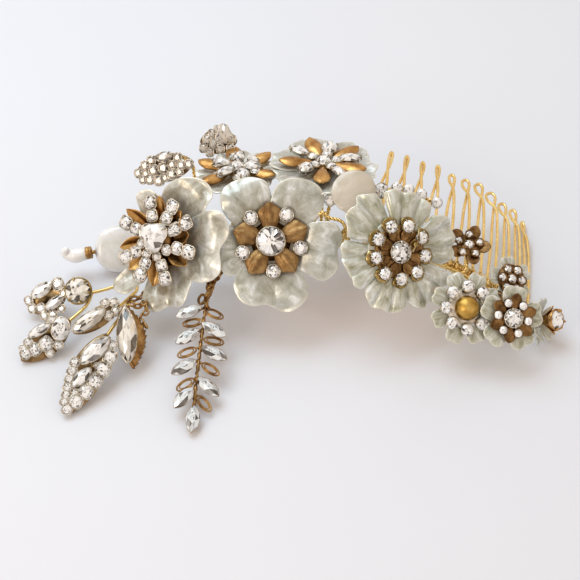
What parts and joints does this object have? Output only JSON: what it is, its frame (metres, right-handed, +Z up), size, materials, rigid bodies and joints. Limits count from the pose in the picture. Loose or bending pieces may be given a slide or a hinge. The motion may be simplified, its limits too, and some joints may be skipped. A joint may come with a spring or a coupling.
{
  "type": "bridal hair comb",
  "caption": "Arched wire comb under a garland of pressed enamel flowers, cut stones, pearls, leaves and a trailing vine, shown lying on its tips.",
  "frame": {"origin": "centre of the footprint, on the surface that the comb lies on", "axes": "+X along the garland towards the comb's last tooth, +Y the way the teeth point, +Z up"},
  "size_m": [0.1273, 0.0876, 0.0356],
  "materials": {
    "comb_wire": "polished gold plate",
    "bronze_wire": "antique bronze, satin",
    "antique_gold": "antique matte gold",
    "ivory_petals": "pearly ivory enamel over pressed metal",
    "sage_petals": "pearly grey-sage enamel over pressed metal",
    "bronze_petals": "matte bronze",
    "clear_stones": "cut, foil backed",
    "champagne_stones": "cut, foil backed",
    "pearl": "nacre",
    "shell": "polished shell"
  },
  "bodies": {
    "root": {"comb_bar": "comb_wire", "tooth_01": "comb_wire", "tooth_02": "comb_wire", "tooth_03": "comb_wire", "tooth_04": "comb_wire", "tooth_05": "comb_wire", "tooth_06": "comb_wire", "tooth_07": "comb_wire", "tooth_08": "comb_wire", "tooth_09": "comb_wire", "tooth_10": "comb_wire", "tooth_11": "comb_wire", "wire_frame": "bronze_wire", "left_flower_petals": "ivory_petals", "left_flower_star": "antique_gold", "left_flower_stones": "clear_stones", "middle_flower_petals": "ivory_petals", "middle_flower_star": "antique_gold", "middle_flower_stones": "clear_stones", "right_flower_petals": "sage_petals", "right_flower_cups": "antique_gold", "right_flower_stones": "clear_stones", "rear_left_petals": "ivory_petals", "rear_left_gold": "antique_gold", "rear_left_stones": "clear_stones", "rear_right_petals": "ivory_petals", "rear_right_gold": "antique_gold", "rear_right_stones": "clear_stones", "dome_flower_petals": "sage_petals", "dome_flower_dome": "antique_gold", "dome_flower_stones": "clear_stones", "six_stone_petals": "sage_petals", "six_stone_cups": "antique_gold", "six_stone_stones": "clear_stones", "end_flower_petals": "sage_petals", "end_flower_cup": "antique_gold", "end_flower_stone": "clear_stones", "cluster_petals": "sage_petals", "cluster_stones": "clear_stones", "bronze_flower": "bronze_petals", "bronze_flower_stones": "clear_stones", "coin_pearl": "pearl", "stick_pearl": "pearl", "shell_disc": "shell", "upper_leaf": "antique_gold", "upper_leaf_stones": "clear_stones", "lower_leaf": "antique_gold", "lower_leaf_stones": "clear_stones", "long_leaf": "antique_gold", "long_leaf_stones": "clear_stones", "side_leaf": "antique_gold", "saw_leaf": "antique_gold", "saw_leaf_stones": "champagne_stones", "rear_leaf": "antique_gold", "rear_leaf_stones": "champagne_stones", "crown_leaf": "antique_gold", "crown_leaf_stones": "champagne_stones", "vine": "bronze_wire", "vine_stones": "clear_stones", "twig_stones": "clear_stones"}
  },
  "joints": []
}
